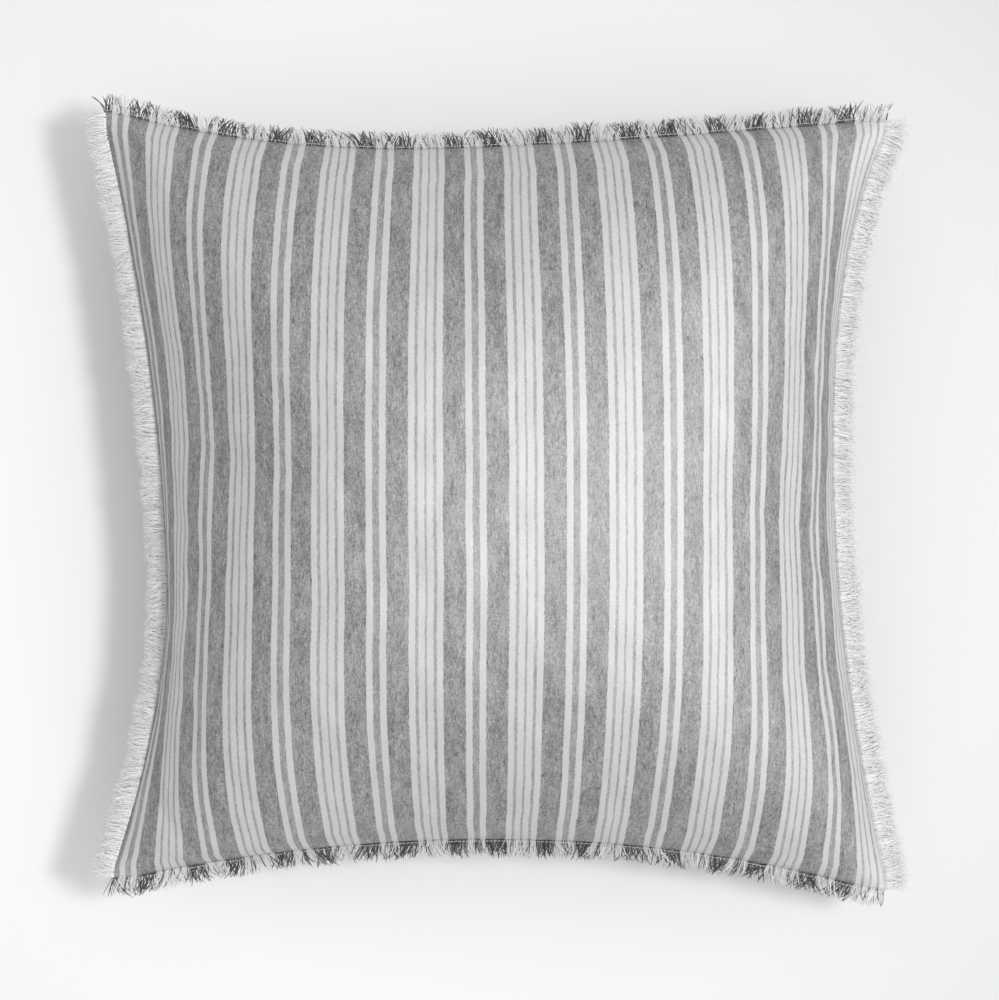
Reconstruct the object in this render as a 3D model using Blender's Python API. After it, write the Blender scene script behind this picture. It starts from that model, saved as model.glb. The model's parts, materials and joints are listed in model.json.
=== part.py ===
"""A square throw pillow with frayed edges: a striped woven cover, a zip in its back, and a stuffed insert.

The pillow lies on its back on the plane z = 0 with its front up. +X is its right side and +Y its
top edge, seen from the front. The origin is under its centre. The units are metres.

Every layer of cloth follows one surface, which front_point and back_point give. A place on it is
u (left to right) and v (bottom to top), both from -1 to 1, and a depth below the cover's outside.
"""

import math

import bmesh
import bpy
from mathutils import Matrix, Vector

# Perimeter seam: the span between its corners, and how far each side's middle is pulled in
CORNER_SPAN_X = 0.544
CORNER_SPAN_Y = 0.538
SIDE_PULL = 0.038
END_PULL = 0.028
PULL_POWER = 2.2

# Heights: the seam over the table, the front over the seam, and the back's bulge if nothing pressed on it
SEAM_HEIGHT = 0.080
CROWN_HEIGHT = 0.125
BACK_BULGE = 0.104
SECTION_POWER = 2.3

# Cloth
COVER_THICKNESS = 0.0009
TICKING_THICKNESS = 0.0008
CLEARANCE = 0.0003
INSERT_GAP = 0.00095
SEAM_GAP = 0.0003

# Fringe of frayed yarns outside the seam, and the seam's two threads
FRINGE_LENGTH = 0.0125
FRINGE_THICKNESS = 0.0012
FRINGE_GAP = 0.0004
THREAD_WIDTH = 0.0005
THREAD_OUT = 0.0013

# Zip: its place below the bottom seam, measured along the cloth, and its parts
ZIP_LENGTH = 0.360
ZIP_INSET = 0.032
ZIP_BAND_HALF = 0.0145
ZIP_BAND_END = 0.020
ZIP_FADE_ROW = -0.45
ZIP_TOWARDS_ENDS = 0.2
ZIP_RECESS = 0.0017
SLIT_HALF = 0.005
SLIT_OVERRUN = 0.008
SLIT_TAPER = 0.006
TAPE_WIDTH = 0.0132
TAPE_THICKNESS = 0.0006
TAPE_OVERRUN = 0.015
TAPE_GAP_HALF = 0.0008
TEETH_INNER = 0.0006
TEETH_WIDTH = 0.0018
TEETH_HEIGHT = 0.0016
STOP_LENGTH = 0.0030
STOP_RISE = 0.0009
STITCH_WIDTH = 0.0004
STITCH_ACROSS = 0.0085

# Zip slider and its pull tab
SLIDER_LENGTH = 0.0100
SLIDER_HALF_WIDTH = 0.0038
PLATE_THICKNESS = 0.0009
FLANGE_WIDTH = 0.0007
WEB_HALF = 0.00025
BRIDGE_HALF_LENGTH = 0.0035
BRIDGE_POST = 0.0010
BRIDGE_HALF_WIDTH = 0.0007
BRIDGE_OPENING = 0.0023
BRIDGE_BAR = 0.0008
TAB_LENGTH = 0.0255
TAB_THICKNESS = 0.0012
TAB_EYE_LENGTH = 0.0054
TAB_EYE_HALF = 0.0011
TAB_ARM_WIDTH = 0.0010
TAB_TIP_HALF = 0.0027

# Labels, each a plain woven patch
LABEL_THICKNESS = 0.0003
INSERT_TAG_SIZE = (0.060, 0.040)
INSERT_TAG_CENTRE = (-0.070, 0.055)
CARE_LABEL_SIZE = (0.040, 0.025)
CARE_LABEL_CENTRE = (0.080, -0.055)

# How finely the surface is cut
QUARTER_STEPS = 8
LINE_SPACING = 0.03
ARC_STEPS = 4000
TIP_STEPS = 8
FRONT_SIDE = 1
BACK_SIDE = -1

# Depths of each layer's outside and inside below the cover's outside
COVER = (0.0, COVER_THICKNESS)
TICKING_DEPTH = COVER_THICKNESS + INSERT_GAP
TICKING = (TICKING_DEPTH, TICKING_DEPTH + TICKING_THICKNESS)
FILL_DEPTH = TICKING_DEPTH + TICKING_THICKNESS + CLEARANCE


def clear_scene():
    for obj in list(bpy.data.objects):
        bpy.data.objects.remove(obj)


def material(name, colour, roughness, metallic=0.0):
    made = bpy.data.materials.new(name)
    made.use_nodes = True
    shader = made.node_tree.nodes["Principled BSDF"]
    shader.inputs["Base Color"].default_value = (*colour, 1.0)
    shader.inputs["Roughness"].default_value = roughness
    shader.inputs["Metallic"].default_value = metallic
    return made


def smoothstep(t):
    t = min(1.0, max(0.0, t))
    return t * t * (3 - 2 * t)


# ---------------------------------------------------------------- the pillow's surface


def seam_half_x(v):
    """Half the seam outline's width at row v."""
    return CORNER_SPAN_X / 2 - SIDE_PULL * (1 - abs(v) ** PULL_POWER)


def seam_half_y(u):
    """Half the seam outline's height at column u."""
    return CORNER_SPAN_Y / 2 - END_PULL * (1 - abs(u) ** PULL_POWER)


def section(r):
    """The height of a rounded section, 1 at its middle and 0 at its edge."""
    return max(0.0, 1 - abs(r) ** SECTION_POWER) ** (1 / SECTION_POWER)


def front_point(u, v, depth):
    rise = (CROWN_HEIGHT - depth) * section(u) * section(v)
    x = u * (seam_half_x(v) - depth)
    y = v * (seam_half_y(u) - depth)
    return Vector((x, y, SEAM_HEIGHT + SEAM_GAP / 2 + rise))


def free_back_point(u, v, depth):
    """The back without its zip, flat where it rests on the table."""
    drop = min((BACK_BULGE - depth) * section(u) * section(v), SEAM_HEIGHT - SEAM_GAP / 2 - depth)
    x = u * (seam_half_x(v) - depth)
    y = v * (seam_half_y(u) - depth)
    return Vector((x, y, SEAM_HEIGHT - SEAM_GAP / 2 - drop))


def row_below_seam(length):
    """The row v on the back that lies this length of cloth below the bottom seam's middle."""
    travelled = 0.0
    last = free_back_point(0, -1, 0)
    for step in range(1, ARC_STEPS + 1):
        v = -1 + (step / ARC_STEPS) ** 2
        point = free_back_point(0, v, 0)
        travelled += (point - last).length
        if travelled >= length:
            return v
        last = point
    return v


ZIP_ROW = row_below_seam(ZIP_INSET)
BAND_LOWER_ROW = row_below_seam(ZIP_INSET - ZIP_BAND_HALF)
BAND_UPPER_ROW = row_below_seam(ZIP_INSET + ZIP_BAND_HALF)
ZIP_HALF = ZIP_LENGTH / 2


def column_of(x):
    """The column u that meets the zip's line at x."""
    return x / seam_half_x(ZIP_ROW)


def zip_frame():
    """The zip's own frame: x along the zip, y across it towards the bottom seam, z out of the cloth.

    The zip is straight and the cloth it is sewn to isn't, so it lies between the places of its middle
    and its ends.
    """
    middle = free_back_point(0, ZIP_ROW, 0)
    end = free_back_point(column_of(ZIP_HALF), ZIP_ROW, 0)
    origin = middle.lerp(end, ZIP_TOWARDS_ENDS)
    origin.x = 0
    across = free_back_point(0, BAND_LOWER_ROW, 0) - free_back_point(0, BAND_UPPER_ROW, 0)
    across.normalize()
    out = Vector((1, 0, 0)).cross(across)
    columns = Matrix((Vector((1, 0, 0)), across, out)).transposed()
    return Matrix.Translation(origin) @ columns.to_4x4()


ZIP_FRAME = zip_frame()


def zip_hold(u):
    """1 along the zip, where its stiff band keeps the cloth straight, falling to 0 at the side seams."""
    reach = column_of(ZIP_HALF + ZIP_BAND_END)
    return 1 - smoothstep((abs(u) - reach) / (1 - reach))


def band_point(u, row, across, depth, recess):
    """A point of a row that runs along the zip, across metres from the zip's line."""
    free = free_back_point(u, row, depth)
    held = ZIP_FRAME @ Vector((u * (seam_half_x(ZIP_ROW) - depth), across, -depth - recess))
    return free.lerp(held, zip_hold(u))


def slit_half(u):
    """Half the width of the opening that the zip closes."""
    end = ZIP_HALF + SLIT_OVERRUN
    if abs(u) * seam_half_x(ZIP_ROW) > end - SLIT_TAPER / 2:
        return SEAM_GAP / 2
    return SLIT_HALF


def slit_point(u, side, depth):
    """A point on the folded edge beside the zip: side is 1 on the lower panel and -1 on the upper."""
    free = free_back_point(u, ZIP_ROW, depth) - Vector((0, side * SEAM_GAP / 2, 0))
    x = u * (seam_half_x(ZIP_ROW) - depth)
    return free.lerp(ZIP_FRAME @ Vector((x, side * slit_half(u), -depth)), zip_hold(u))


def back_point(u, v, depth, recess):
    """The back above the zip's band: it follows the band nearby and the free surface further up."""
    free = free_back_point(u, v, depth)
    band = band_point(u, BAND_UPPER_ROW, -ZIP_BAND_HALF, depth, recess)
    pulled = band - free_back_point(u, BAND_UPPER_ROW, depth)
    share = 1 - smoothstep((v - BAND_UPPER_ROW) / (ZIP_FADE_ROW - BAND_UPPER_ROW))
    point = free + pulled * share
    point.z = max(point.z, depth)
    return point


def surface_lines():
    """Values from -1 to 1, closer together towards the ends, where the surface turns."""
    quarter = [
        math.sin(math.pi / 2 * step / QUARTER_STEPS) ** (2 / SECTION_POWER)
        for step in range(QUARTER_STEPS + 1)
    ]
    return [-value for value in reversed(quarter[1:])] + quarter


def columns():
    """The surface's columns, with three more where the zip's opening and its stiff band end."""
    slit_end = ZIP_HALF + SLIT_OVERRUN
    ends = [slit_end - SLIT_TAPER, slit_end, ZIP_HALF + ZIP_BAND_END]
    extra = [side * column_of(x) for x in ends for side in (-1, 1)]
    regular = [u for u in surface_lines() if min(abs(u - end) for end in extra) > LINE_SPACING]
    return sorted(regular + extra)


COLUMNS = columns()
UPPER_ROWS = [v for v in surface_lines() if v > BAND_UPPER_ROW + LINE_SPACING]
ALL_ROWS = [-1, BAND_LOWER_ROW, ZIP_ROW, BAND_UPPER_ROW] + UPPER_ROWS


def front_grid(depth):
    return [[front_point(u, v, depth) for u in COLUMNS] for v in ALL_ROWS]


def seam_row(depth):
    return [free_back_point(u, -1, depth) for u in COLUMNS]


def band_row(row, across, depth, recess):
    return [band_point(u, row, across, depth, recess) for u in COLUMNS]


def slit_row(side, depth):
    return [slit_point(u, side, depth) for u in COLUMNS]


def upper_rows(depth, recess):
    return [[back_point(u, v, depth, recess) for u in COLUMNS] for v in UPPER_ROWS]


def recessed_grid(depth):
    """The whole back, for the insert, which the zip doesn't cut: it gives way under the zip."""
    lower = band_row(BAND_LOWER_ROW, ZIP_BAND_HALF, depth, ZIP_RECESS)
    middle = band_row(ZIP_ROW, 0, depth, ZIP_RECESS)
    upper = band_row(BAND_UPPER_ROW, -ZIP_BAND_HALF, depth, ZIP_RECESS)
    return [seam_row(depth), lower, middle, upper] + upper_rows(depth, ZIP_RECESS)


def lower_panel_grid(depth):
    lower = band_row(BAND_LOWER_ROW, ZIP_BAND_HALF, depth, 0)
    return [seam_row(depth), lower, slit_row(1, depth)]


def upper_panel_grid(depth):
    upper = band_row(BAND_UPPER_ROW, -ZIP_BAND_HALF, depth, 0)
    return [slit_row(-1, depth), upper] + upper_rows(depth, 0)


# ---------------------------------------------------------------- solids


def link(name, mesh, finish, parent=None):
    obj = bpy.data.objects.new(name, mesh)
    obj.data.materials.append(finish)
    bpy.context.scene.collection.objects.link(obj)
    if parent:
        obj.parent = parent
    return obj


def mesh_from(build):
    """A mesh filled in by build, with its faces turned outwards."""
    shape = bmesh.new()
    build(shape)
    bmesh.ops.recalc_face_normals(shape, faces=shape.faces)
    mesh = bpy.data.meshes.new("mesh")
    shape.to_mesh(mesh)
    shape.free()
    return mesh


def add_grid(shape, grid):
    """Adds a grid of points as triangles, all cut along the same diagonal, and returns its vertices."""
    verts = [[shape.verts.new(point) for point in row] for row in grid]
    for low, high in zip(verts, verts[1:]):
        for i in range(len(low) - 1):
            shape.faces.new((low[i], low[i + 1], high[i + 1]))
            shape.faces.new((low[i], high[i + 1], high[i]))
    return verts


def border(verts):
    """The vertices round the edge of a grid, in order."""
    right = [row[-1] for row in verts[1:-1]]
    left = [row[0] for row in verts[1:-1]]
    return verts[0] + right + verts[-1][::-1] + left[::-1]


def cloth(name, outside, inside, finish):
    """A sheet of cloth between two grids, closed round its edge."""

    def build(shape):
        outer = border(add_grid(shape, outside))
        inner = border(add_grid(shape, inside))
        for i in range(len(outer)):
            shape.faces.new((outer[i - 1], outer[i], inner[i], inner[i - 1]))

    return link(name, mesh_from(build), finish)


def bar(name, x_range, y_range, z_range, finish, parent):
    """A straight bar in its parent's frame."""
    low = Vector((x_range[0], y_range[0], z_range[0]))
    high = Vector((x_range[1], y_range[1], z_range[1]))

    def build(shape):
        made = bmesh.ops.create_cube(shape, size=1)
        for vert in made["verts"]:
            vert.co = [low[k] + (vert.co[k] + 0.5) * (high[k] - low[k]) for k in range(3)]

    return link(name, mesh_from(build), finish, parent)


def prism(name, outline, place, span, finish, parent=None):
    """An outline in two directions, extruded along the third by place(a, b, c)."""

    def build(shape):
        verts = [shape.verts.new(place(a, b, span[0])) for a, b in outline]
        face = shape.faces.new(verts)
        made = bmesh.ops.extrude_face_region(shape, geom=[face], use_keep_orig=True)
        moved = [item for item in made["geom"] if isinstance(item, bmesh.types.BMVert)]
        shift = place(0, 0, span[1]) - place(0, 0, span[0])
        bmesh.ops.translate(shape, vec=shift, verts=moved)

    return link(name, mesh_from(build), finish, parent)


def combine(target, tool, operation):
    """Joins or cuts target with tool, which stays as a hidden guide."""
    tool.hide_render = True
    tool.display_type = "WIRE"
    step = target.modifiers.new(tool.name, "BOOLEAN")
    step.operation = operation
    step.object = tool


# ---------------------------------------------------------------- cover, insert and labels


def make_cover(finish):
    outside, inside = COVER
    cloth("front_panel", front_grid(outside), front_grid(inside), finish)
    cloth("back_panel_upper", upper_panel_grid(outside), upper_panel_grid(inside), finish)
    cloth("back_panel_lower", lower_panel_grid(outside), lower_panel_grid(inside), finish)


def make_insert(ticking, wadding):
    outside, inside = TICKING
    cloth("insert_front_ticking", front_grid(outside), front_grid(inside), ticking)
    cloth("insert_back_ticking", recessed_grid(outside), recessed_grid(inside), ticking)
    cloth("insert_fill", front_grid(FILL_DEPTH), recessed_grid(FILL_DEPTH), wadding)


def make_labels(finish):
    """Flat patches in the gap under the insert: one sewn to the insert, one inside the cover."""
    parent = bpy.data.objects.new("labels", None)
    bpy.context.scene.collection.objects.link(parent)
    on_cover = COVER_THICKNESS + CLEARANCE
    on_insert = TICKING_DEPTH - CLEARANCE - LABEL_THICKNESS
    places = (
        ("insert_tag", INSERT_TAG_CENTRE, INSERT_TAG_SIZE, on_insert),
        ("care_label", CARE_LABEL_CENTRE, CARE_LABEL_SIZE, on_cover),
    )
    for name, centre, size, low in places:
        x_range = (centre[0] - size[0] / 2, centre[0] + size[0] / 2)
        y_range = (centre[1] - size[1] / 2, centre[1] + size[1] / 2)
        bar(name, x_range, y_range, (low, low + LABEL_THICKNESS), finish, parent)


# ---------------------------------------------------------------- fringe and seam threads


def seam_side(name):
    """The seam's points along one side, going round the pillow against the clock."""
    if name == "bottom":
        return [free_back_point(u, -1, 0).xy for u in COLUMNS]
    if name == "right":
        return [free_back_point(1, v, 0).xy for v in ALL_ROWS]
    if name == "top":
        return [free_back_point(u, 1, 0).xy for u in reversed(COLUMNS)]
    return [free_back_point(-1, v, 0).xy for v in reversed(ALL_ROWS)]


def outward(points, i):
    """The direction away from the pillow at one point of an open side."""
    along = points[min(i + 1, len(points) - 1)] - points[max(i - 1, 0)]
    return Vector((along.y, -along.x)).normalized()


def fringe(name, side, points, finish):
    """One side's frayed yarns as a flat strip: side is 1 on the front's and -1 on the back's."""
    near = SEAM_HEIGHT + side * SEAM_GAP / 2
    far = near + side * FRINGE_THICKNESS
    lanes = [
        [point + outward(points, i) * reach for i, point in enumerate(points)]
        for reach in (FRINGE_GAP, FRINGE_GAP + FRINGE_LENGTH)
    ]
    grids = [[[Vector((*point, z)) for point in lane] for lane in lanes] for z in (near, far)]
    return cloth(name, grids[0], grids[1], finish)


def mitred(loop, reach):
    """A closed loop of points moved outwards, with its corners kept sharp."""
    moved = []
    for i, point in enumerate(loop):
        before = (point - loop[i - 1]).normalized()
        after = (loop[(i + 1) % len(loop)] - point).normalized()
        normal = Vector((before.y + after.y, -before.x - after.x)).normalized()
        stretch = normal.dot(Vector((after.y, -after.x)))
        moved.append(point + normal * reach / stretch)
    return moved


def thread_ring(name, side, loop, finish):
    """One thread of the perimeter seam, a square ring lying on the fringe."""
    near = SEAM_HEIGHT + side * (SEAM_GAP / 2 + FRINGE_THICKNESS + CLEARANCE)
    far = near + side * THREAD_WIDTH
    inner = mitred(loop, THREAD_OUT - THREAD_WIDTH / 2)
    outer = mitred(loop, THREAD_OUT + THREAD_WIDTH / 2)
    rings = [(inner, near), (outer, near), (outer, far), (inner, far)]

    def build(shape):
        verts = [[shape.verts.new((*point, z)) for point in ring] for ring, z in rings]
        for k in range(len(rings)):
            low = verts[k - 1]
            high = verts[k]
            for i in range(len(loop)):
                shape.faces.new((low[i - 1], low[i], high[i], high[i - 1]))

    return link(name, mesh_from(build), finish)


def make_edges(warp_finish, weft_finish, thread_finish):
    """The fringes and the seam: warp yarns fray at the top and bottom, weft yarns at the sides."""
    loop = []
    for name in ("bottom", "right", "top", "left"):
        points = seam_side(name)
        loop += points[:-1]
        finish = warp_finish if name in ("bottom", "top") else weft_finish
        fringe("fringe_front_" + name, FRONT_SIDE, points, finish)
        fringe("fringe_back_" + name, BACK_SIDE, points, finish)
    thread_ring("seam_needle_thread", FRONT_SIDE, loop, thread_finish)
    thread_ring("seam_bobbin_thread", BACK_SIDE, loop, thread_finish)


# ---------------------------------------------------------------- zip

TAPE_OUTER = -COVER_THICKNESS - CLEARANCE
TAPE_INNER = TAPE_OUTER - TAPE_THICKNESS
TEETH_LOW = TAPE_OUTER + CLEARANCE
TEETH_TOP = TEETH_LOW + TEETH_HEIGHT
TOP_PLATE = TEETH_TOP + CLEARANCE
TOP_PLATE_TOP = TOP_PLATE + PLATE_THICKNESS
BOTTOM_PLATE = TAPE_INNER - CLEARANCE
TAB_AXIS = TOP_PLATE_TOP + BRIDGE_OPENING / 2
SLIDER_REST = ZIP_HALF - SLIDER_LENGTH / 2


def across(side, near, far):
    """A range across the zip: side is 1 towards the bottom seam and -1 away from it."""
    return sorted((side * near, side * far))


def make_zip_line(tape, nylon, metal, thread, parent):
    """The fixed parts of the zip. Each tape carries one row of teeth and one top stop."""
    end = ZIP_HALF + TAPE_OVERRUN
    past_teeth = (ZIP_HALF + CLEARANCE, ZIP_HALF + CLEARANCE + STOP_LENGTH)
    stop_heights = (TEETH_LOW, TEETH_TOP + STOP_RISE)
    for name, side in (("lower", 1), ("upper", -1)):
        tape_span = across(side, TAPE_GAP_HALF, TAPE_GAP_HALF + TAPE_WIDTH)
        bar("zip_tape_" + name, (-end, end), tape_span, (TAPE_INNER, TAPE_OUTER), tape, parent)
        teeth_span = across(side, TEETH_INNER, TEETH_INNER + TEETH_WIDTH)
        heights = (TEETH_LOW, TEETH_TOP)
        bar("zip_teeth_" + name, (-ZIP_HALF, ZIP_HALF), teeth_span, heights, nylon, parent)
        bar("zip_top_stop_" + name, past_teeth, teeth_span, stop_heights, metal, parent)
        stitch_span = across(side, STITCH_ACROSS, STITCH_ACROSS + STITCH_WIDTH)
        heights = (CLEARANCE, CLEARANCE + STITCH_WIDTH)
        bar("zip_stitching_" + name, (-end, end), stitch_span, heights, thread, parent)
    before_teeth = (-past_teeth[1], -past_teeth[0])
    half = TEETH_INNER + TEETH_WIDTH
    bar("zip_bottom_stop", before_teeth, (-half, half), stop_heights, metal, parent)


def make_slider(metal, parent):
    """Two plates joined by a web that runs between the rows of teeth, with a bridge for the tab."""
    wide = SLIDER_HALF_WIDTH
    lip = wide - FLANGE_WIDTH
    foot = TAPE_OUTER + CLEARANCE
    low = BOTTOM_PLATE - PLATE_THICKNESS
    half_profile = [
        (wide, low),
        (wide, BOTTOM_PLATE),
        (WEB_HALF, BOTTOM_PLATE),
        (WEB_HALF, TOP_PLATE),
        (lip, TOP_PLATE),
        (lip, foot),
        (wide, foot),
        (wide, TOP_PLATE_TOP),
    ]
    profile = half_profile + [(-y, z) for y, z in reversed(half_profile)]
    half = SLIDER_LENGTH / 2
    body = prism("zip_slider", profile, lambda y, z, x: Vector((x, y, z)), (-half, half), metal, parent)
    body.location.x = SLIDER_REST
    reach = BRIDGE_HALF_LENGTH
    inner = reach - BRIDGE_POST
    opening = TOP_PLATE_TOP + BRIDGE_OPENING
    sunk = TOP_PLATE_TOP - PLATE_THICKNESS / 2
    arch = [
        (-reach, sunk),
        (-reach, opening + BRIDGE_BAR),
        (reach, opening + BRIDGE_BAR),
        (reach, sunk),
        (inner, sunk),
        (inner, opening),
        (-inner, opening),
        (-inner, sunk),
    ]
    span = (-BRIDGE_HALF_WIDTH, BRIDGE_HALF_WIDTH)
    bridge = prism("bridge_guide", arch, lambda x, z, y: Vector((x, y, z)), span, metal, body)
    combine(body, bridge, "UNION")
    return body


def make_tab(metal, slider):
    """The pull tab: its cross-bar turns under the slider's bridge, which passes through its eye."""
    bar_half = TAB_THICKNESS / 2
    neck = TAB_EYE_HALF + TAB_ARM_WIDTH
    tip = TAB_LENGTH - TAB_TIP_HALF
    rounded = [
        (-tip - TAB_TIP_HALF * math.sin(angle), TAB_TIP_HALF * math.cos(angle))
        for angle in [math.pi * step / TIP_STEPS for step in range(TIP_STEPS + 1)]
    ]
    outline = [(bar_half, -neck), (bar_half, neck)] + rounded
    span = (-bar_half, bar_half)
    tab = prism("zip_pull_tab", outline, lambda x, y, z: Vector((x, y, z)), span, metal, slider)
    tab.location.z = TAB_AXIS
    eye_x = (-bar_half - TAB_EYE_LENGTH, -bar_half)
    eye_y = (-TAB_EYE_HALF, TAB_EYE_HALF)
    eye = bar("eye_guide", eye_x, eye_y, (-TAB_THICKNESS, TAB_THICKNESS), metal, tab)
    combine(tab, eye, "DIFFERENCE")


def make_zip(tape, nylon, metal, thread):
    """The zip, all of it placed in the frame of its own line."""
    line = bpy.data.objects.new("zip_line", None)
    line.matrix_world = ZIP_FRAME
    bpy.context.scene.collection.objects.link(line)
    make_zip_line(tape, nylon, metal, thread, line)
    make_tab(metal, make_slider(metal, line))


def main():
    clear_scene()
    stripes = material("striped_cotton", (0.42, 0.42, 0.43), 0.92)
    grey_yarn = material("charcoal_and_white_yarn", (0.30, 0.30, 0.31), 0.95)
    white_yarn = material("off_white_yarn", (0.78, 0.77, 0.75), 0.95)
    ticking = material("white_ticking", (0.82, 0.82, 0.81), 0.85)
    wadding = material("white_fill", (0.88, 0.88, 0.87), 1.0)
    label = material("white_label", (0.85, 0.85, 0.84), 0.7)
    tape = material("grey_zip_tape", (0.45, 0.45, 0.46), 0.85)
    nylon = material("grey_nylon", (0.42, 0.42, 0.43), 0.45)
    metal = material("nickel", (0.62, 0.61, 0.59), 0.32, 1.0)
    thread = material("light_thread", (0.70, 0.70, 0.69), 0.7)
    make_cover(stripes)
    make_insert(ticking, wadding)
    make_labels(label)
    make_edges(grey_yarn, white_yarn, thread)
    make_zip(tape, nylon, metal, thread)


main()
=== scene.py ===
import json
import math

import bpy
import bmesh
import numpy as np
from mathutils import Matrix, Vector


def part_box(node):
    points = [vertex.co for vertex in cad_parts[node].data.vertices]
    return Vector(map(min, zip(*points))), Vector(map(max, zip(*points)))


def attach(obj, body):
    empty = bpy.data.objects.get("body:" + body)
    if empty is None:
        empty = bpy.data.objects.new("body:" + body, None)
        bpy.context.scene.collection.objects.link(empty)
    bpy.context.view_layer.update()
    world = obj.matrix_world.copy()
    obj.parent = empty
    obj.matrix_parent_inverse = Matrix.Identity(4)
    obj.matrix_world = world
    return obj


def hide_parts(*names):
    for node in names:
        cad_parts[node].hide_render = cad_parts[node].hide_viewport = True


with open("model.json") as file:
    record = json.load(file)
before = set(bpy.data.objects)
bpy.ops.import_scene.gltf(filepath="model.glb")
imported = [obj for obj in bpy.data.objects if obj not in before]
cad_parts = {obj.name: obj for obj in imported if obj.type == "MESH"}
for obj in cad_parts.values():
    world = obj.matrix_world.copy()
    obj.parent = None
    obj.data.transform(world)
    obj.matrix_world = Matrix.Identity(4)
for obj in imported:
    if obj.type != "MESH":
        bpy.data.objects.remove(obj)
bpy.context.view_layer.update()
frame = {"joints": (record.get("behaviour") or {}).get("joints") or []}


# ---------------------------------------------------------------- table, light and camera
# The pillow lies on its back on a pale table in a white room; the table's colour holds painted shade, darker
# to the right, up and outward.
# A soft lamp stands high on the right, and a white card beside it gives the cloth its gleam. The camera looks
# straight down.

SEAM_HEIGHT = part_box("front_panel")[0].z
CAMERA_HEIGHT = 2.26          # above the seam
CAMERA_LENS = 116.2
CAMERA_OFFSET = 0.0016
TABLE_SIZE = 5.0
TABLE_WHITE = (0.96, 0.96, 0.96, 1)
TABLE_PAINTED_SHADE = (0.66, 0.66, 0.66, 1)
# Painted shade on the table: its colour darkens to the right, upward and outward from the middle, standing in
# for the room's uneven light.
PAINTED_SHADE_MIDDLE = 0.35           # the share of the table's shade at its middle,
PAINTED_SHADE_ACROSS = 0.80           # what each metre to the right adds to it, and each metre up,
PAINTED_SHADE_ALONG = 0.29
PAINTED_SHADE_OUTWARD = 1.9           # and each metre outward past the start
PAINTED_SHADE_START = 0.38
ROOM_LIGHT = 0.735
ROOM_SLANT = 0.15             # how much brighter the room is on the right
LIGHT_DISTANCE = 3.2
LAMP_HEIGHT_ANGLE = math.radians(68)
LAMP_TURN = math.radians(6)
LAMP_SIZE = 0.60
LAMP_POWER = 41.0
CARD_HEIGHT_ANGLE = math.radians(63)
CARD_SIZE = 1.3
CARD_POWER = 48.0


class Wire:
    """A socket in a finish. Arithmetic on wires adds Math nodes, and node() adds any other kind."""

    def __init__(self, tree, socket=None):
        self.tree = tree
        self.socket = socket

    def node(self, kind, settings=None, sockets=None, output=0):
        made = self.tree.nodes.new("ShaderNode" + kind)
        for name, value in (settings or {}).items():
            setattr(made, name, value)
        for name, value in (sockets or {}).items():
            if isinstance(value, Wire):
                self.tree.links.new(value.socket, made.inputs[name])
            else:
                made.inputs[name].default_value = value
        return Wire(self.tree, made.outputs[output] if len(made.outputs) else None)

    def maths(self, operation, *others):
        return self.node("Math", {"operation": operation}, dict(enumerate((self,) + others)))

    def __add__(self, other):
        return self.maths("ADD", other)

    def __sub__(self, other):
        return self.maths("SUBTRACT", other)

    def __rsub__(self, other):
        return self.node("Math", {"operation": "SUBTRACT"}, {0: other, 1: self})

    def __mul__(self, other):
        return self.maths("MULTIPLY", other)

    def __truediv__(self, other):
        return self.maths("DIVIDE", other)

    __radd__ = __add__
    __rmul__ = __mul__


def finish(name):
    """A new material with no nodes, and a wire to start its nodes from."""
    material = bpy.data.materials.new(name)
    material.use_nodes = True
    material.node_tree.nodes.clear()
    return material, Wire(material.node_tree)


def close(start, sockets):
    """Gives a finish its shader and its output."""
    shader = start.node("BsdfPrincipled", None, sockets)
    start.node("OutputMaterial", None, {"Surface": shader})


def mix(factor, first, second):
    """The first colour where factor is 0, and the second where it is 1."""
    return factor.node("Mix", {"data_type": "RGBA"}, {0: factor, 6: first, 7: second}, output=2)


scene = bpy.context.scene
scene.view_settings.view_transform = "Standard"

world = bpy.data.worlds.new("white_room")
world.use_nodes = True
world.node_tree.nodes.clear()
room = Wire(world.node_tree)
direction = room.node("TexCoord")
to_right = direction.node("SeparateXYZ", None, {0: direction}, output=0)
brightness = (to_right * ROOM_SLANT + 1) * ROOM_LIGHT
backdrop = room.node("Background", None, {"Color": (1, 1, 1, 1), "Strength": brightness})
room.node("OutputWorld", None, {"Surface": backdrop})
scene.world = world


def round_light(name, size, power, height_angle, turn):
    """A round soft light that faces the middle of the table."""
    data = bpy.data.lights.new(name, "AREA")
    data.shape = "DISK"
    data.size = size
    data.energy = power
    light = bpy.data.objects.new(name, data)
    flat_share = math.cos(height_angle)
    light.location = LIGHT_DISTANCE * Vector(
        (flat_share * math.cos(turn), flat_share * math.sin(turn), math.sin(height_angle)))
    light.rotation_euler = (-light.location).to_track_quat("-Z", "Y").to_euler()
    scene.collection.objects.link(light)
    return light


round_light("lamp", LAMP_SIZE, LAMP_POWER, LAMP_HEIGHT_ANGLE, LAMP_TURN)
card = round_light("card", CARD_SIZE, CARD_POWER, CARD_HEIGHT_ANGLE, 0)
card.visible_diffuse = False

camera_data = bpy.data.cameras.new("camera")
camera_data.sensor_width = 36
camera_data.lens = CAMERA_LENS
camera = bpy.data.objects.new("camera", camera_data)
camera.location = (CAMERA_OFFSET, 0, SEAM_HEIGHT + CAMERA_HEIGHT)
scene.collection.objects.link(camera)
scene.camera = camera

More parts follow.
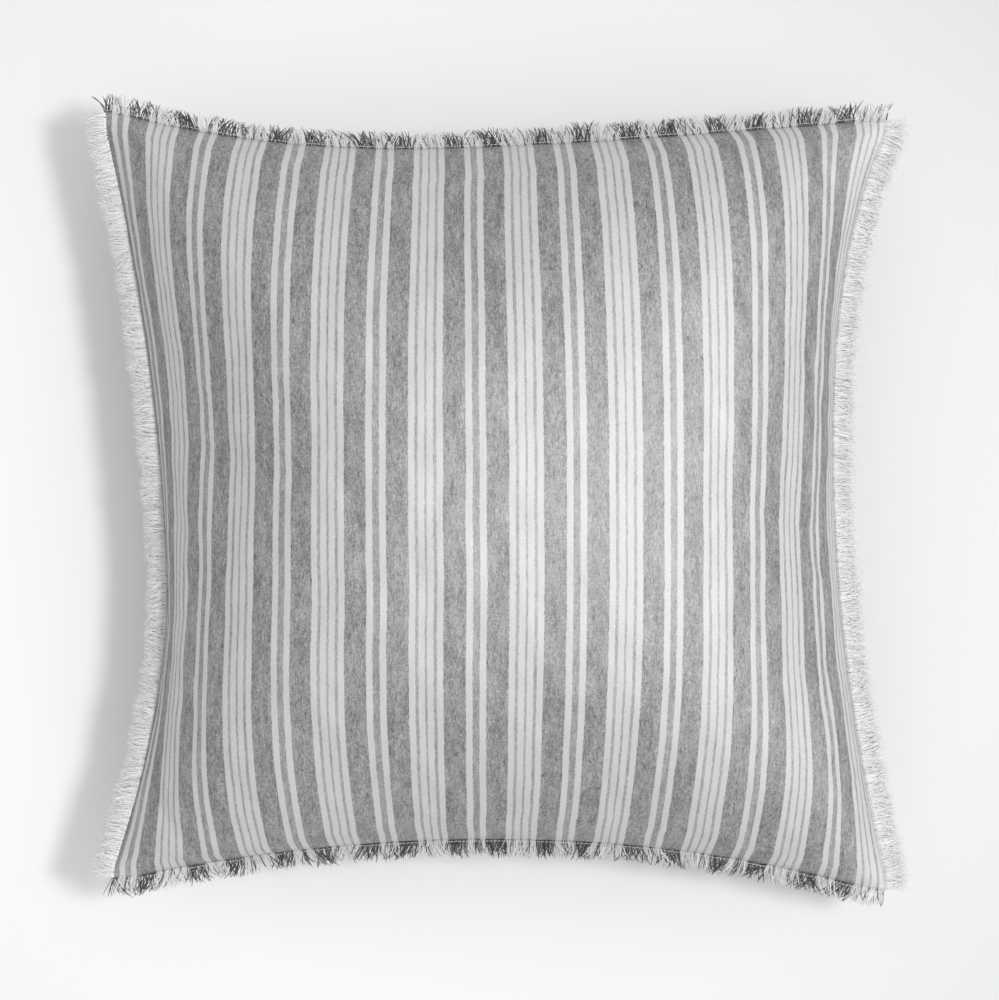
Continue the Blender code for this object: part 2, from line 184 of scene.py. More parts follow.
table_mesh = bpy.data.meshes.new("table")
table_mesh.from_pydata([(-1, -1, 0), (1, -1, 0), (1, 1, 0), (-1, 1, 0)], [], [(0, 1, 2, 3)])
table_mesh.transform(Matrix.Scale(TABLE_SIZE / 2, 4))
table = bpy.data.objects.new("table", table_mesh)
scene.collection.objects.link(table)
# The table's finish paints shade into its colour: darker to the right, upward, and outward past a set
# distance from the middle.
table_painted_shade, start = finish("table_painted_shade")
table_place = start.node("TexCoord", output=3)
table_across = table_place.node("SeparateXYZ", None, {0: table_place}, output=0)
table_along = table_place.node("SeparateXYZ", None, {0: table_place}, output=1)
from_middle = table_place.node("VectorMath", {"operation": "LENGTH"}, {0: table_place}, output=1)
outward = (from_middle - PAINTED_SHADE_START).maths("MAXIMUM", 0.0)
shade = table_across * PAINTED_SHADE_ACROSS + table_along * PAINTED_SHADE_ALONG + outward * PAINTED_SHADE_OUTWARD + PAINTED_SHADE_MIDDLE
shade = shade.maths("MAXIMUM", 0.0).maths("MINIMUM", 1.0)
close(start, {"Base Color": mix(shade, TABLE_WHITE, TABLE_PAINTED_SHADE), "Roughness": 0.6})
table_mesh.materials.append(table_painted_shade)


# ---------------------------------------------------------------- shape of the filled cover
# Two square panels of one cloth are sewn together all round and filled: the middles rise, the sides pull
# in, and the back spreads on the table, held straight along the zip. Cloth simulation from the flat
# squares gives the shape, and then most of the height of its creases is eased away.

FLAT_SIDE = 0.584             # each panel from seam to seam, before it is filled
CELLS = 96                    # along each side of a simulated panel
CROWN_HEIGHT = 0.122          # of the smooth guess over the seam
BACK_BULGE = 0.10
SWELL_POWER = 0.75
CORNER_SHIFTS = {             # hand sewing leaves each corner a little off the square
    "bottom_left": (0.0030, 0.0044),
    "bottom_right": (-0.0006, -0.0040),
    "top_left": (-0.0026, 0.0026),
    "top_right": (0.0001, -0.0030),
}
SIDE_PULLS = {                # how far a side pulls in, where most, and its power before and after that
    "left": (0.0406, -0.27, 1.7, 1.9),
    "right": (0.0371, 0.14, 1.9, 2.6),
    "bottom": (0.0315, 0.05, 2.0, 2.1),
    "top": (0.0238, -0.24, 2.2, 1.4),
}
CORNER_RUN = 0.04             # the last share of a side that doesn't pull in
ZIP_INSET = 0.0345            # from the bottom seam to the zip, along the cloth
ZIP_HOLD = 0.0185             # how far either side of the zip the cloth stays straight
ZIP_REACH = 0.200             # from the middle, along the zip
ZIP_GATHER = 0.95             # the cloth is sewn to the zip a little gathered
ZIP_BLEND = 0.08
PRESSURE = 16.0
GATHERING_FRAMES = 10         # in which the seam moves from the flat square to its filled outline
SETTLING_FRAMES = 34
LAYERS_APART = 0.002          # between the flat panels and the seam's plane
CALMING_PASSES = 58
CREASES_KEPT = 0.08
CROWN_SHIFT = 0.003           # how far the middle sits to the right
ZIP_EASE = 0.035              # the cloth past the held strip that the easing changes less
RIM = 0.05                    # the cloth next to the seam, measured flat
RIM_SLOPE = 0.12              # how steeply it rises or drops at least
RIM_LEAN = 0.10               # how fast it comes inward at least

half_side = FLAT_SIDE / 2
seam_low, seam_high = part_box("front_panel")
seam_corner_x = (seam_high.x - seam_low.x) / 2
seam_corner_y = (seam_high.y - seam_low.y) / 2
zip_slide, tab_hinge = frame["joints"]
zip_along = -Vector(zip_slide["axis"])
zip_across = Vector(tab_hinge["axis"])        # towards the bottom seam
zip_out = zip_along.cross(zip_across)
teeth_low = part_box("zip_teeth_upper")[0]
teeth_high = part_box("zip_teeth_lower")[1]
zip_middle = Vector((0, (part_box("zip_teeth_lower")[0].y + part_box("zip_teeth_upper")[1].y) / 2,
                     (teeth_low.z + teeth_high.z) / 2))
ZIP_ROW = -half_side + ZIP_INSET
zip_held_half = ZIP_REACH / ZIP_GATHER


def pulled(side, place):
    """How far a side of the seam lies inside the line between its corners; place runs from -1 to 1."""
    depth, deepest, before, after = SIDE_PULLS[side]
    reach = np.where(place < deepest, (deepest - place) / (1 + deepest), (place - deepest) / (1 - deepest))
    power = np.where(place < deepest, before, after)
    return depth * (1 - np.clip(reach / (1 - CORNER_RUN), 0, 1) ** power)


def in_plan(u, v):
    """Where a point of a panel lies in plan: u and v run from -1 to 1 between the seams."""
    x = u * seam_corner_x
    y = v * seam_corner_y
    for name, (shift_x, shift_y) in CORNER_SHIFTS.items():
        share_u = (1 + u) / 2 if name.endswith("right") else (1 - u) / 2
        share_v = (1 + v) / 2 if name.startswith("top") else (1 - v) / 2
        x = x + shift_x * share_u * share_v
        y = y + shift_y * share_u * share_v
    x = x + pulled("left", v) * (1 - u) / 2 - pulled("right", v) * (1 + u) / 2
    y = y + pulled("bottom", u) * (1 - v) / 2 - pulled("top", u) * (1 + v) / 2
    return x, y


def first_shape(side, x, y):
    """A smooth guess at a filled panel, at places on the flat cloth; the simulation starts from it."""
    u = x / half_side
    v = y / half_side
    middle_u = np.cos(u * math.pi / 2)
    middle_v = np.cos(v * math.pi / 2)
    plan_x, plan_y = in_plan(u + (np.sin(u * math.pi / 2) - u) * middle_v,
                             v + (np.sin(v * math.pi / 2) - v) * middle_u)
    swell = np.clip(middle_u * middle_v, 0, 1) ** SWELL_POWER
    if side == "front":
        return np.stack([plan_x, plan_y, SEAM_HEIGHT + CROWN_HEIGHT * swell], axis=-1)
    return np.stack([plan_x, plan_y, np.maximum(SEAM_HEIGHT - BACK_BULGE * swell, 0)], axis=-1)


def on_zip(x, across, out=0.0):
    """Points in the zip's own plane, as an array: along it, across it and out of the cloth."""
    return (np.array(zip_middle)
            + np.multiply.outer(x, np.array(zip_along))
            + np.multiply.outer(across, np.array(zip_across))
            + np.multiply.outer(out + 0 * x, np.array(zip_out)))


flat_line = np.linspace(-half_side, half_side, CELLS + 1)
flat_x, flat_y = np.meshgrid(flat_line, flat_line)
shapes = {"front": first_shape("front", flat_x, flat_y), "back": first_shape("back", flat_x, flat_y)}

# The straight strip of cloth along the zip pulls the cloth round it along.
zip_strip_low = ZIP_ROW - ZIP_HOLD
zip_strip_high = ZIP_ROW + ZIP_HOLD
strip_y = np.clip(flat_y, zip_strip_low, zip_strip_high)
strip_shift = on_zip(flat_x * ZIP_GATHER, ZIP_ROW - strip_y) - first_shape("back", flat_x, strip_y)
strip_share = np.where(flat_y < zip_strip_low, (flat_y + half_side) / (zip_strip_low + half_side),
                       np.clip(1 - (flat_y - zip_strip_high) / ZIP_BLEND, 0, 1))
strip_share *= np.clip((zip_held_half + ZIP_BLEND / 2 - np.abs(flat_x)) / (ZIP_BLEND / 2), 0, 1)
shapes["back"] += strip_shift * strip_share[..., None]
held_by_zip = (np.abs(flat_y - ZIP_ROW) < ZIP_HOLD) & (np.abs(flat_x) < zip_held_half)


def grid_quads(index):
    """The four corners of each cell in a grid of vertex numbers."""
    return np.stack([index[:-1, :-1], index[:-1, 1:], index[1:, 1:], index[1:, :-1]], axis=-1)


def settle():
    """Blows the two flat panels up inside their seam and returns the shapes that they settle in."""
    size = CELLS + 1
    on_seam = np.zeros((size, size), bool)
    on_seam[[0, -1], :] = True
    on_seam[:, [0, -1]] = True
    front = np.arange(size * size).reshape(size, size)
    back = front.copy()
    back[~on_seam] = size * size + np.arange((~on_seam).sum())
    faces = []
    for index, outward in ((front, True), (back, False)):
        corners = grid_quads(index)
        faces.extend((corners if outward else corners[..., ::-1]).reshape(-1, 4).tolist())
    filled_points = np.vstack([shapes["front"].reshape(-1, 3), shapes["back"][~on_seam]])
    apart = np.where(on_seam, 0, LAYERS_APART)
    flat_points = np.vstack([np.dstack([flat_x, flat_y, SEAM_HEIGHT + apart]).reshape(-1, 3),
                             np.dstack([flat_x, flat_y, SEAM_HEIGHT - apart])[~on_seam]])
    mesh = bpy.data.meshes.new("settling")
    mesh.from_pydata(flat_points.tolist(), [], faces)
    cover = bpy.data.objects.new("settling", mesh)
    scene.collection.objects.link(cover)
    cover.shape_key_add(name="flat")
    filled = cover.shape_key_add(name="filled")
    filled.data.foreach_set("co", filled_points.ravel())
    filled.value = 0
    filled.keyframe_insert("value", frame=1)
    filled.value = 1
    filled.keyframe_insert("value", frame=GATHERING_FRAMES)
    held = cover.vertex_groups.new(name="held")
    held.add(np.unique(front[on_seam]).tolist() + back[held_by_zip & ~on_seam].tolist(), 1.0, "ADD")
    cloth = cover.modifiers.new("cloth", "CLOTH")
    settings = cloth.settings
    settings.quality = 6
    settings.mass = 0.3
    settings.tension_stiffness = 40
    settings.compression_stiffness = 20
    settings.shear_stiffness = 5
    settings.bending_stiffness = 0.5
    settings.tension_damping = 8
    settings.compression_damping = 8
    settings.shear_damping = 8
    settings.air_damping = 3
    settings.use_pressure = True
    settings.uniform_pressure_force = PRESSURE
    settings.vertex_group_mass = "held"
    settings.effector_weights.gravity = 0
    cloth.collision_settings.use_collision = True
    cloth.collision_settings.distance_min = 0.001
    cloth.point_cache.frame_end = SETTLING_FRAMES
    stop = bpy.data.objects.new("settling_stop", table_mesh.copy())
    scene.collection.objects.link(stop)
    stop.modifiers.new("collision", "COLLISION")
    stop.collision.thickness_outer = 0.001
    for moment in range(1, SETTLING_FRAMES + 1):
        scene.frame_set(moment)
    settled = cover.evaluated_get(bpy.context.evaluated_depsgraph_get()).to_mesh()
    points = np.empty(len(settled.vertices) * 3)
    settled.vertices.foreach_get("co", points)
    points = points.reshape(-1, 3)
    scene.frame_set(1)
    bpy.data.objects.remove(cover)
    bpy.data.objects.remove(stop)
    return {"front": points[front], "back": points[back]}


def calmed(side, settled):
    """Eases a settled panel's creases, and keeps the panel on its own side of the seam and inside it."""
    creased = settled - shapes[side]
    change = creased.copy()
    for _ in range(CALMING_PASSES):
        change = np.pad(change, ((1, 1), (0, 0), (0, 0)), "reflect", reflect_type="odd")
        change = (change[:-2] + 2 * change[1:-1] + change[2:]) / 4
        change = np.pad(change, ((0, 0), (1, 1), (0, 0)), "reflect", reflect_type="odd")
        change = (change[:, :-2] + 2 * change[:, 1:-1] + change[:, 2:]) / 4
    change += CREASES_KEPT * (creased - change)
    change[..., 0] += CROWN_SHIFT * ((1 - (flat_x / half_side) ** 2) * (1 - (flat_y / half_side) ** 2))
    freedom = np.ones_like(flat_x)
    if side == "back":
        from_zip = np.hypot(np.maximum(np.abs(flat_y - ZIP_ROW) - ZIP_HOLD, 0),
                            np.maximum(np.abs(flat_x) - zip_held_half, 0))
        freedom = np.clip(from_zip / ZIP_EASE, 0, 1)
        freedom = freedom**2 * (3 - 2 * freedom)
    points = shapes[side] + change * freedom[..., None]
    to_seam = half_side - np.maximum(np.abs(flat_x), np.abs(flat_y))
    rim = np.minimum(to_seam, RIM) * RIM_SLOPE
    if side == "front":
        points[..., 2] = np.maximum(points[..., 2], SEAM_HEIGHT + rim)
    else:
        points[..., 2] = np.clip(points[..., 2], 0, SEAM_HEIGHT - rim)
    from_left = np.minimum(half_side + flat_x, RIM) * RIM_LEAN
    from_right = np.minimum(half_side - flat_x, RIM) * RIM_LEAN
    from_bottom = np.minimum(half_side + flat_y, RIM) * RIM_LEAN
    from_top = np.minimum(half_side - flat_y, RIM) * RIM_LEAN
    inside = points.copy()
    inside[..., 0] = np.clip(points[..., 0], points[:, :1, 0] + from_left, points[:, -1:, 0] - from_right)
    inside[..., 1] = np.clip(points[..., 1], points[:1, :, 1] + from_bottom, points[-1:, :, 1] - from_top)
    return points + (inside - points) * freedom[..., None]


shapes = {side: calmed(side, settled) for side, settled in settle().items()}

RIPPLES = 14
RIPPLE_HEIGHT = 0.00022
RIPPLE_SHORTEST = 0.022
RIPPLE_LONGEST = 0.075
RIPPLE_TURN = 0.9
RIPPLE_FADE = 0.03            # the cloth next to the seam where ripples fade out
ZIP_RIPPLE_FADE = 0.02
NORMAL_STEP = 0.0012
ripple_draw = np.random.default_rng(5)
ripple_lengths = ripple_draw.uniform(RIPPLE_SHORTEST, RIPPLE_LONGEST, RIPPLES)
ripple_turns = ripple_draw.uniform(-RIPPLE_TURN, RIPPLE_TURN, RIPPLES)
ripple_starts = ripple_draw.uniform(0, 2 * math.pi, RIPPLES)


def spline_weights(share):
    """The four Catmull-Rom weights for a point that share of the way between the middle two."""
    return np.stack([
        -0.5 * share + share**2 - 0.5 * share**3,
        1 - 2.5 * share**2 + 1.5 * share**3,
        0.5 * share + 2 * share**2 - 1.5 * share**3,
        -0.5 * share**2 + 0.5 * share**3,
    ], axis=-1)


def outside(side, x, y):
    """Points on the outside of a filled panel, at places measured on the flat cloth."""
    grid = shapes[side]
    grid = np.concatenate([2 * grid[:1] - grid[1:2], grid, 2 * grid[-1:] - grid[-2:-1]])
    grid = np.concatenate([2 * grid[:, :1] - grid[:, 1:2], grid, 2 * grid[:, -1:] - grid[:, -2:-1]], axis=1)
    place_x = np.clip((x + half_side) / FLAT_SIDE * CELLS, 0, CELLS - 1e-9)
    place_y = np.clip((y + half_side) / FLAT_SIDE * CELLS, 0, CELLS - 1e-9)
    cell_x = place_x.astype(int)
    cell_y = place_y.astype(int)
    weights_x = spline_weights(place_x - cell_x)
    weights_y = spline_weights(place_y - cell_y)
    points = np.zeros(np.shape(x) + (3,))
    for row in range(4):
        for column in range(4):
            weight = weights_y[..., row] * weights_x[..., column]
            points += weight[..., None] * grid[cell_y + row, cell_x + column]
    return points


def cover_points(side, x, y, inward=0.0):
    """Points of a filled panel with its soft ripples, moved inward along the surface's normal."""
    low_x, high_x = (np.clip(x + step, -half_side, half_side) for step in (-NORMAL_STEP, NORMAL_STEP))
    low_y, high_y = (np.clip(y + step, -half_side, half_side) for step in (-NORMAL_STEP, NORMAL_STEP))
    normal = np.cross(outside(side, high_x, y) - outside(side, low_x, y),
                      outside(side, x, high_y) - outside(side, x, low_y))
    normal /= np.maximum(np.linalg.norm(normal, axis=-1, keepdims=True), 1e-12)
    if side == "back":
        normal = -normal
    ripple = 0 * x
    for length, turn, start_at in zip(ripple_lengths, ripple_turns, ripple_starts):
        ripple = ripple + np.sin(
            2 * math.pi * (x * math.cos(turn) + y * math.sin(turn)) / length + start_at)
    to_seam = np.minimum(half_side - np.abs(x), half_side - np.abs(y))
    calm = np.clip(to_seam / RIPPLE_FADE, 0, 1)
    if side == "back":
        calm = calm * np.clip((np.abs(y - ZIP_ROW) - ZIP_HOLD) / ZIP_RIPPLE_FADE, 0, 1)
    lift = RIPPLE_HEIGHT * ripple * calm / math.sqrt(RIPPLES) * 2 - inward
    points = outside(side, x, y) + normal * lift[..., None]
    points[..., 2] = np.maximum(points[..., 2], inward)
    return points


# ---------------------------------------------------------------- front panel
# One square of cotton cloth with yarn-dyed stripes that run from top to bottom. Dark warp yarns crossed
# by a pale weft make the heathered grey bands, and pale warp yarns make the white stripes.

CLOTH_THICKNESS = 0.0009
RESTING_GAP = 0.0002          # between the pillow's underside and the table
PANEL_GAP = 0.0002            # between each panel and the seam's own plane
PANEL_ROWS = 200
STRIPE_REPEAT = 0.0659
FIRST_PAIR = 0.18             # from the left seam to the first pair of white stripes, in repeats
PAIR_STRIPE = (0.0349, 0.1027)          # a stripe's edges, in repeats from the middle of a pair
OUTER_STRIPE = (0.3266, 0.3914)         # the outer and the inner stripes in a group of four
INNER_STRIPE = (0.4236, 0.4884)
GROUP_EDGE = (0.3266, 0.3300)
STRIPE_BLUR = 0.0035
WARP_PITCH = 0.00078
WEFT_PITCH = 0.00092
RIB_PITCH = 0.0015
UNDYED = (0.555, 0.555, 0.555, 1)
CHARCOAL = (0.028, 0.028, 0.028, 1)


def rise(wire, start, end):
    """0 below start, 1 above end and smooth between them."""
    span = {"Value": wire, "From Min": start, "From Max": end}
    return wire.node("MapRange", {"interpolation_type": "SMOOTHSTEP"}, span)


def grain(x, y, seed, detail=0.0):
    """Smooth random values round 0.5, where x and y count grains."""
    place = x.node("CombineXYZ", None, {0: x, 1: y, 2: seed})
    return x.node("TexNoise", None, {"Vector": place, "Scale": 1.0, "Detail": detail})


def speck(x, y, seed):
    """One random value from 0 to 1 for each whole x and y."""
    place = x.node("CombineXYZ", None, {0: x, 1: y, 2: seed})
    return x.node("TexWhiteNoise", {"noise_dimensions": "3D"}, {"Vector": place})


def flat_place(start):
    """Where a point lies on the flat cloth, across and along."""
    flat = start.node("UVMap", {"uv_map": "flat"})
    return [flat.node("SeparateXYZ", None, {0: flat}, output=axis) for axis in (0, 1)]


def relief(height, strength, distance):
    """Small bumps and hollows for a finish."""
    return height.node("Bump", None, {"Strength": strength, "Distance": distance, "Height": height})


def piece(name, mesh, material, body):
    """Puts a finished mesh in the scene, on its body and in its material slot."""
    made = bpy.data.objects.new(name, mesh)
    scene.collection.objects.link(made)
    mesh.name = name
    mesh.materials.clear()
    mesh.materials.append(material)
    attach(made, body)
    return made


def closed_sheet(outer, inner, flat_across, flat_along, inside_out=False):
    """Joins an outer and an inner face of one grid all round, and keeps their places on the flat cloth."""
    rows, columns = flat_across.shape
    size = rows * columns
    index = np.arange(size).reshape(rows, columns)
    quads = grid_quads(index).reshape(-1, 4)
    rim = np.concatenate([index[0, :-1], index[:-1, -1], index[-1, :0:-1], index[:0:-1, 0]])
    rim_next = np.roll(rim, -1)
    edge = np.stack([rim, rim + size, rim_next + size, rim_next], axis=-1)
    faces = np.concatenate([quads, quads[:, ::-1] + size, edge])
    if inside_out:
        faces = faces[:, ::-1]
    mesh = bpy.data.meshes.new("sheet")
    points = np.concatenate([outer.reshape(-1, 3), inner.reshape(-1, 3)])
    mesh.from_pydata(points.tolist(), [], faces.tolist())
    corners = faces.ravel() % size
    flat = np.stack([flat_across.ravel()[corners], flat_along.ravel()[corners]], axis=-1)
    mesh.uv_layers.new(name="flat").data.foreach_set("uv", flat.ravel())
    unit = (flat - flat.min(0)) / (flat.max(0) - flat.min(0))
    mesh.uv_layers.new(name="OFBake").data.foreach_set("uv", unit.ravel())
    mesh.polygons.foreach_set("use_smooth", np.ones(len(faces), bool))
    return mesh


def shell(side, x, y, depth, thickness, gap=0.0, crumple=0.0):
    """A closed sheet of cloth over a grid of flat places, its outside face at that depth in the cover."""
    toward = np.array([0, 0, gap if side == "front" else -gap]) + crumple
    outer = cover_points(side, x, y, depth) + toward
    inner = cover_points(side, x, y, depth + thickness) + toward
    outer[..., 2] = np.maximum(outer[..., 2], RESTING_GAP)
    return closed_sheet(outer, inner, x, y, side == "back")


def past(fold, edge):
    """1 past a stripe's edge, and slightly blurred at it."""
    return rise(fold, edge - STRIPE_BLUR, edge + STRIPE_BLUR)


def stripes_at(across):
    """Where the white stripes, the thin lines in a group and the middle of a pair are, as masks."""
    place = across / STRIPE_REPEAT + (half_side / STRIPE_REPEAT - FIRST_PAIR)
    fold = place.maths("PINGPONG", 0.5)
    pair, outer, inner = (past(fold, start) * (1 - past(fold, end))
                          for start, end in (PAIR_STRIPE, OUTER_STRIPE, INNER_STRIPE))
    thin = rise(fold, *GROUP_EDGE) - outer - inner
    middle = 1 - past(fold, PAIR_STRIPE[0])
    return pair + outer + inner, thin, middle


def striped_cloth():
    """Yarn-dyed cloth: every warp yarn has its own heather, and the weft shows through as fine rows. In
    patches, the white stripes carry rows of painted shade along the weft ribs.
    """
    material, start = finish("striped_cloth")
    across, along = flat_place(start)
    row = (along / WEFT_PITCH).maths("FLOOR")
    wander = grain(across / 0.030, along / 0.045, 1.3, 1.0) - 0.5
    nibble = speck(row, row * 0, 2.7) - 0.5
    fray = grain(across / 0.004, along / 0.0028, 6.1, 1.0) - 0.5
    shifted = across + wander * 0.0011 + nibble * 0.00024 + fray * 0.0009
    white, thin, middle = stripes_at(shifted)
    yarn = (shifted / WARP_PITCH).maths("FLOOR")
    streak = grain(yarn * 5.37, along / 0.0050, 8.2, 1.0)
    patch = grain(across / 0.0052, along / 0.024, 4.4, 1.5)
    weave = speck(yarn, row, 3.1)
    fine = grain(across / 0.0009, along / 0.0012, 9.5, 2.0)
    heather = (streak - 0.5) * 1.7 + (patch - 0.5) * 1.25 + (weave - 0.5) * 0.50 + (fine - 0.5) * 1.9
    band = 1 - white - thin - middle
    slub = rise(grain(across / 0.0014, along / 0.0062, 12.7), 0.74, 0.80) * 0.35
    fleck = rise(speck(yarn, (along / 0.0018).maths("FLOOR"), 7.9), 0.985, 0.995) * 0.30
    # Painted shade: in patches, the white stripes darken in rows along the weft ribs; the ribs have no bump
    # of their own.
    rib_shade_share = rise(grain(across / 0.012, along / 0.010, 15.1), 0.5, 0.68)
    rib = (along * (2 * math.pi / RIB_PITCH)).maths("SINE") * rib_shade_share
    dark = (band * (heather * 0.42 + 0.70 + slub - fleck) + thin * (heather * 0.34 + 0.50)
            + middle * (heather * 0.36 + 0.60) + white * (heather * 0.13 + 0.02 + rib * 0.07))
    colour = mix(dark.maths("MAXIMUM", 0.0).maths("MINIMUM", 1.0), UNDYED, CHARCOAL)
    over = (across * (math.pi / WARP_PITCH)).maths("SINE").maths("ABSOLUTE")
    under = (along * (math.pi / WEFT_PITCH)).maths("SINE").maths("ABSOLUTE")
    height = over * 0.5 + under * 0.35 + heather * 0.35
    bump = relief(height, 0.35, 0.0004)
    gleam = {"Roughness": 0.6, "Specular IOR Level": 1.0, "IOR": 1.8}
    close(start, {"Base Color": colour, "Normal": bump, **gleam})
    return material


cover_cloth = striped_cloth()
panel_line = np.linspace(-half_side, half_side, PANEL_ROWS + 1)
panel_x, panel_y = np.meshgrid(panel_line, panel_line)
front_cloth = shell("front", panel_x, panel_y, 0, CLOTH_THICKNESS, PANEL_GAP)
front_panel = piece("front_panel_cloth", front_cloth, cover_cloth, "pillow")
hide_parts("front_panel")


# ---------------------------------------------------------------- back panels
# The back is cut in two across the zip. Each piece turns under along the zip, 5 mm from its middle, and
# past the zip's ends the two are sewn edge to edge.

SLIT_HALF = 0.005
SLIT_REACH = 0.182
SLIT_TAPER = 0.006
SEWN_GAP = 0.00025
EDGE_ROLL = 0.0007            # how far in the edge rolls that is turned under
UPPER_ROLL_END = 0.0046       # the roll's width, as a share of each panel's depth
LOWER_ROLL_END = 0.085

slit_share = np.clip((np.abs(panel_line) * ZIP_GATHER - SLIT_REACH) / SLIT_TAPER, 0, 1)
slit_line = SEWN_GAP + (SLIT_HALF - SEWN_GAP) * (1 - slit_share**2 * (3 - 2 * slit_share))
upper_share = np.concatenate([[0, 0.0022, UPPER_ROLL_END], np.linspace(0.0075, 1, 176)])
lower_share = np.concatenate([[0, 0.04, LOWER_ROLL_END], np.linspace(0.15, 1, 14)])
for half, sign, share, roll_end in (("upper", 1, upper_share, UPPER_ROLL_END),
                                    ("lower", -1, lower_share, LOWER_ROLL_END)):
    back_x = np.tile(panel_line, (len(share), 1))
    back_y = (ZIP_ROW + sign * slit_line) + sign * share[:, None] * (half_side - sign * ZIP_ROW - slit_line)
    roll = np.clip(1 - share / roll_end, 0, 1) ** 2 * EDGE_ROLL
    inward = roll[:, None, None] * np.ones((len(panel_line), 1)) * -np.array(zip_out)
    cloth = shell("back", back_x[::sign], back_y[::sign], 0, CLOTH_THICKNESS, PANEL_GAP, inward[::sign])
    back_panel = piece(f"back_panel_{half}_cloth", cloth, cover_cloth, "pillow")
    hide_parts(f"back_panel_{half}")


# ---------------------------------------------------------------- fringes
# The panels' edges stand out past the seam and are frayed. The cut warp yarns stand out at the top and
# bottom in the colours of the stripes, and the fluffy undyed weft yarns at the left and right.

LAYERS = {"front": 0.0004, "back": -0.0004}
WARP_ENDS = 620
WARP_LENGTH = 0.0128
WEFT_ENDS = 2600
WEFT_LENGTHS = {"left": 0.0172, "right": 0.0185}
ROOT_INSIDE = 0.0010          # how far inside the seam each yarn begins
SEAM_STEP = 0.002
WARP_FRINGE = {               # springy, curling, and leaning together in small tufts
    "lean": ((0.42, 0.045), (0.30, 0.010)),
    "own_lean": 0.28,
    "curl": (0.45, 0.013),
    "own_curl": 0.35,
    "rising": (-0.10, 0.34),
    "drop": (0.05, 0.42),
    "wiggle": 0.00035,
    "waves": 7,
    "bow": 0.16,
    "radius": (0.00024, 0.00036),
    "profile": (1, 1.05, 1, 1, 1, 0.95, 0.8, 0.35),
}
WEFT_FRINGE = {               # fine, dense, soft and a little lumpy along the edge
    "lean": ((0.20, 0.060), (0.16, 0.008)),
    "own_lean": 0.22,
    "curl": (0.16, 0.009),
    "own_curl": 0.30,
    "rising": (-0.15, 0.30),
    "drop": (-0.05, 0.35),
    "wiggle": 0.00045,
    "waves": 8,
    "bow": 0,
    "radius": (0.00022, 0.00040),
    "profile": (1, 1.1, 1.1, 1, 0.9, 0.7, 0.25),
}
EDGES = {                     # the seam's outward direction in plan
    "top": (0, 1),
    "bottom": (0, -1),
    "left": (-1, 0),
    "right": (1, 0),
}


def yarns(paths, radius, shade, sides=4):
    """Closed tubes along rows of points; shade holds two values for each tube's finish."""
    count, length, _ = paths.shape
    tangent = np.gradient(paths, axis=1)
    tangent /= np.maximum(np.linalg.norm(tangent, axis=-1, keepdims=True), 1e-12)
    aside = np.cross(tangent, np.array([0.13, 0.21, 0.97]))
    aside /= np.maximum(np.linalg.norm(aside, axis=-1, keepdims=True), 1e-12)
    above = np.cross(aside, tangent)
    turn = np.arange(sides) * 2 * math.pi / sides
    ring = (np.cos(turn)[:, None] * aside[:, :, None, :] + np.sin(turn)[:, None] * above[:, :, None, :])
    points = paths[:, :, None, :] + ring * radius[:, :, None, None]
    index = np.arange(count * length * sides).reshape(count, length, sides)
    ahead = np.roll(index, -1, axis=2)
    skin = np.stack([index[:, :-1], ahead[:, :-1], ahead[:, 1:], index[:, 1:]], axis=-1)
    faces = skin.reshape(-1, 4).tolist()
    faces += index[:, 0, ::-1].tolist() + index[:, -1].tolist()
    mesh = bpy.data.meshes.new("yarns")
    mesh.from_pydata(points.reshape(-1, 3).tolist(), [], faces)
    corners = np.empty(len(mesh.loops), np.int32)
    mesh.loops.foreach_get("vertex_index", corners)
    owner = corners // (length * sides)
    step = corners // sides % length
    mesh.uv_layers.new(name="flat").data.foreach_set("uv", shade[owner].ravel())
    across = math.ceil(math.sqrt(count))
    cell = np.stack([owner % across + (corners % sides + 0.5) / sides,
                     owner // across + (step + 0.5) / length], axis=-1) / (across + 1)
    mesh.uv_layers.new(name="OFBake").data.foreach_set("uv", cell.ravel())
    mesh.polygons.foreach_set("use_smooth", np.ones(len(mesh.polygons), bool))
    return mesh


def seam_line(edge, place):
    """Points of the seam at places along one side, with the directions out from it and along it."""
    out_x, out_y = EDGES[edge]

    def on_seam(at):
        end = np.full_like(at, half_side)
        return outside("front", *((at, end * out_y) if out_y else (end * out_x, at)))

    along = (on_seam(np.clip(place + SEAM_STEP, -half_side, half_side))
             - on_seam(np.clip(place - SEAM_STEP, -half_side, half_side)))
    along /= np.linalg.norm(along, axis=-1, keepdims=True)
    outward = np.cross(along, (0, 0, 1))
    outward *= np.sign(outward @ np.array([out_x, out_y, 0]))[:, None]
    return on_seam(place), outward, along


def smooth_noise(draw, place, length):
    """A smooth random curve along the seam, between about -1 and 1."""
    knots = draw.uniform(-1, 1, int(FLAT_SIDE / length) + 4)
    at = (place + half_side) / length
    cell = at.astype(int)
    weights = spline_weights(at - cell)
    return sum(weights[:, k] * knots[cell + k] for k in range(4))


